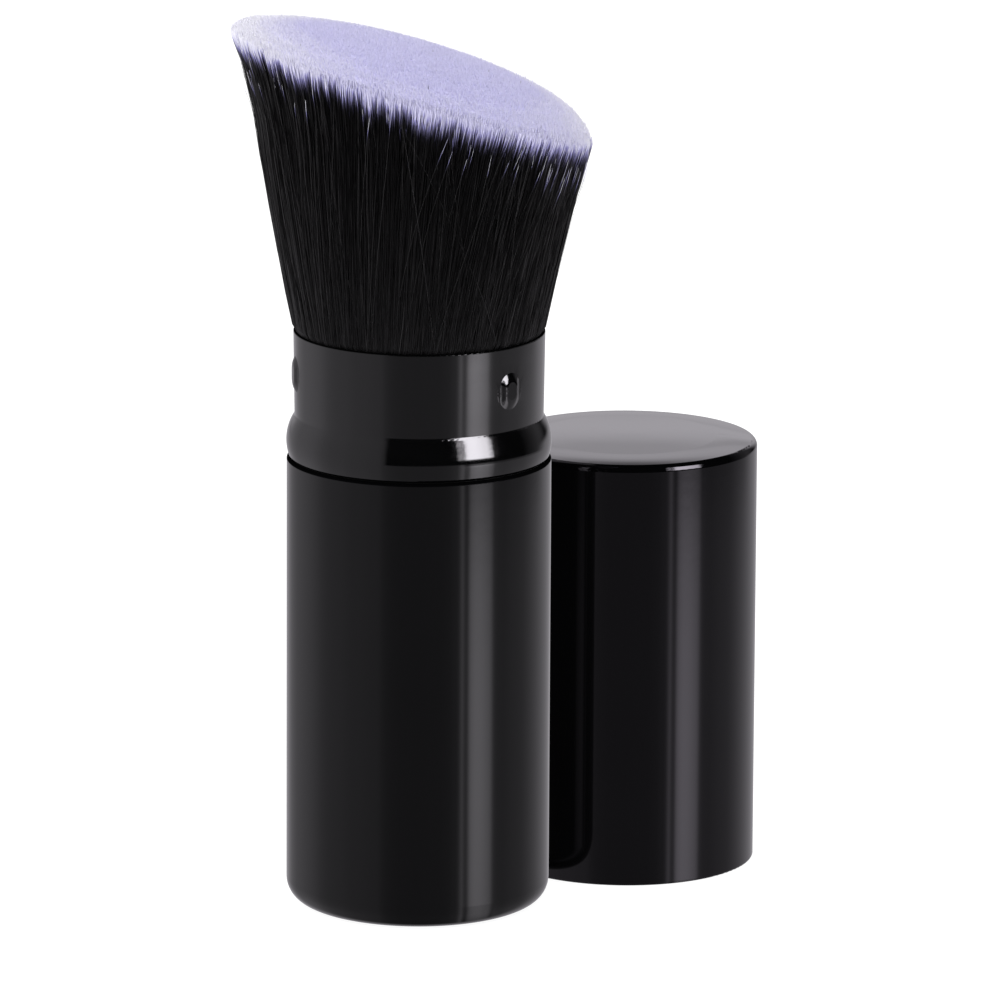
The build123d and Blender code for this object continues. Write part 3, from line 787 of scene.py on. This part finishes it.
# seen in surfaces that face the front or lean away from it
lit = ranged(wt, tilt, 1.7, 2.7, 1.0, 0.0, True)
strip_low = times(curve(tilt, (-0.9, 1.0), (-0.45, 1.0), (-0.13, .82), (0.0, .62), (0.12, .36), (0.5, .33)),
                  curve(tilt, (-60, .30), (-45, .36), (-30, .50), (-15, .64), (-4, .72), (-1.7, .76), (-1.25, 1.0)))
right_low = ranged(wt, tilt, -0.1, 0.2, 1.0, 0.62)
on_strip = between(turned, 40.0, 71.0, 8.0, 4.0)
weaker = plus(times(on_strip, strip_low), times(math_node(wt, "GREATER_THAN", turned, 60.0), math_node(wt, "SUBTRACT", 1.0, on_strip), right_low),
              times(math_node(wt, "LESS_THAN", turned, 60.0), math_node(wt, "SUBTRACT", 1.0, on_strip)))
on_left = times(ranged(wt, turned, -31.0, -27.0, 1.0, 0.0, True), ranged(wt, tilt, 68.0, 80.0, 1.0, 0.0, True))
under = curve(tilt, (-85, .06), (-70, .13), (-60, .22), (-50, .36), (-40, .62), (-32, .85), (-25, 1.0))
over_right = times(ranged(wt, turned, 104.0, 150.0, 0.0, 0.25), math_node(wt, "SUBTRACT", 1.0, lit))
ripple = times(noise(wt, coord.outputs["Generated"], 34.0, 2.5), 9.0)
side_of = plus(turned, ripple, -4.5)
streaks = ranged(wt, noise(wt, coord.outputs["Generated"], 60.0, 2.0), 0.42, 0.62, 0.0, 1.0)
window = plus(times(between(side_of, 35.0, 43.0, 2.0, 3.0), streaks, 6.0),
              times(between(side_of, 42.5, 67.5, 3.0, 4.5), ranged(wt, side_of, 52.0, 66.0, 11.2, 8.6)))
window = times(window, between(tilt, 8.0, 35.0, 2.0, 4.0))
near_front = plus(times(panels(turned), math_node(wt, "MAXIMUM", lit, on_left), under, weaker), over_right, window)
# seen at the sides of round bodies and in level tops: what stands behind
aside = math_node(wt, "ABSOLUTE", azimuth)
wall_part = ranged(wt, elevation, -8.0, -1.0, 1.0, 0.0, True)
above = curve(elevation, (-6, .40), (-1, .55), (3, .73), (7, .84), (9.4, .88), (10.2, .99), (11.8, 1.07), (13.2, 1.05),
              (14.7, .89), (16.1, .93), (16.6, 1.05), (19, 1.20), (22, 1.25), (25, 1.0), (27, .6), (29, .25), (31, .0))
straight = ranged(wt, aside, 144, 166, 0, 1, True)
behind = times(straight, above, math_node(wt, "SUBTRACT", 1.0, wall_part))
at_left = times(math_node(wt, "LESS_THAN", azimuth, 0.0), math_node(wt, "SUBTRACT", 1.0, straight))
near_back = plus(times(panels(azimuth), math_node(wt, "MAXIMUM", wall_part, at_left)), behind)
glossy = plus(times(near_front, facing), times(near_back, math_node(wt, "SUBTRACT", 1.0, facing)))
w_gloss = wt.nodes.new("ShaderNodeBackground")
w_gloss.inputs["Color"].default_value = (1.0, 0.965, 1.03, 1.0)
wt.links.new(glossy, w_gloss.inputs["Strength"])
w_matt = wt.nodes.new("ShaderNodeBackground")
w_matt.inputs["Color"].default_value = (1.0, 1.0, 1.0, 1.0)
from_front = math_node(wt, "MAXIMUM", times(wy, -1.0), 0.0)
wt.links.new(plus(times(from_front, 0.85), 0.88), w_matt.inputs["Strength"])
w_seen = wt.nodes.new("ShaderNodeBackground")
w_seen.inputs["Color"].default_value = (1.0, 1.0, 1.0, 1.0)
ray = wt.nodes.new("ShaderNodeLightPath")


def pick(fac, a, b):
    n = wt.nodes.new("ShaderNodeMixShader")
    wt.links.new(fac, n.inputs[0])
    wt.links.new(a.outputs[0], n.inputs[1])
    wt.links.new(b.outputs[0], n.inputs[2])
    return n


mix = pick(ray.outputs["Is Camera Ray"], pick(ray.outputs["Is Glossy Ray"], w_matt, w_gloss), w_seen)
wt.links.new(mix.outputs[0], w_out.inputs[0])


def area(name, place_at, target, size, power, glossy=False, size_y=None):
    d = bpy.data.lights.new(name, "AREA")
    d.energy = power
    d.size = size
    if size_y:
        d.shape = "RECTANGLE"
        d.size_y = size_y
    o = bpy.data.objects.new(name, d)
    bpy.context.collection.objects.link(o)
    o.location = place_at
    direction = Matrix.Translation(target).translation - o.location
    o.rotation_euler = direction.to_track_quat("-Z", "Y").to_euler()
    o.visible_glossy = glossy
    o.visible_camera = False
    return o


area("key_top", (-0.5, 0.3, 1.5), (0, 0, 0.08), 1.2, 3.4)
area("key_left", (-1.0, 0.28, 0.46), (0, 0, 0.07), 0.9, 5.5)
# the barrel's right side shows the light panel there, not the cap's dark wall
for node in ("cap_shell", "cap_liner"):
    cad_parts[node].visible_glossy = False
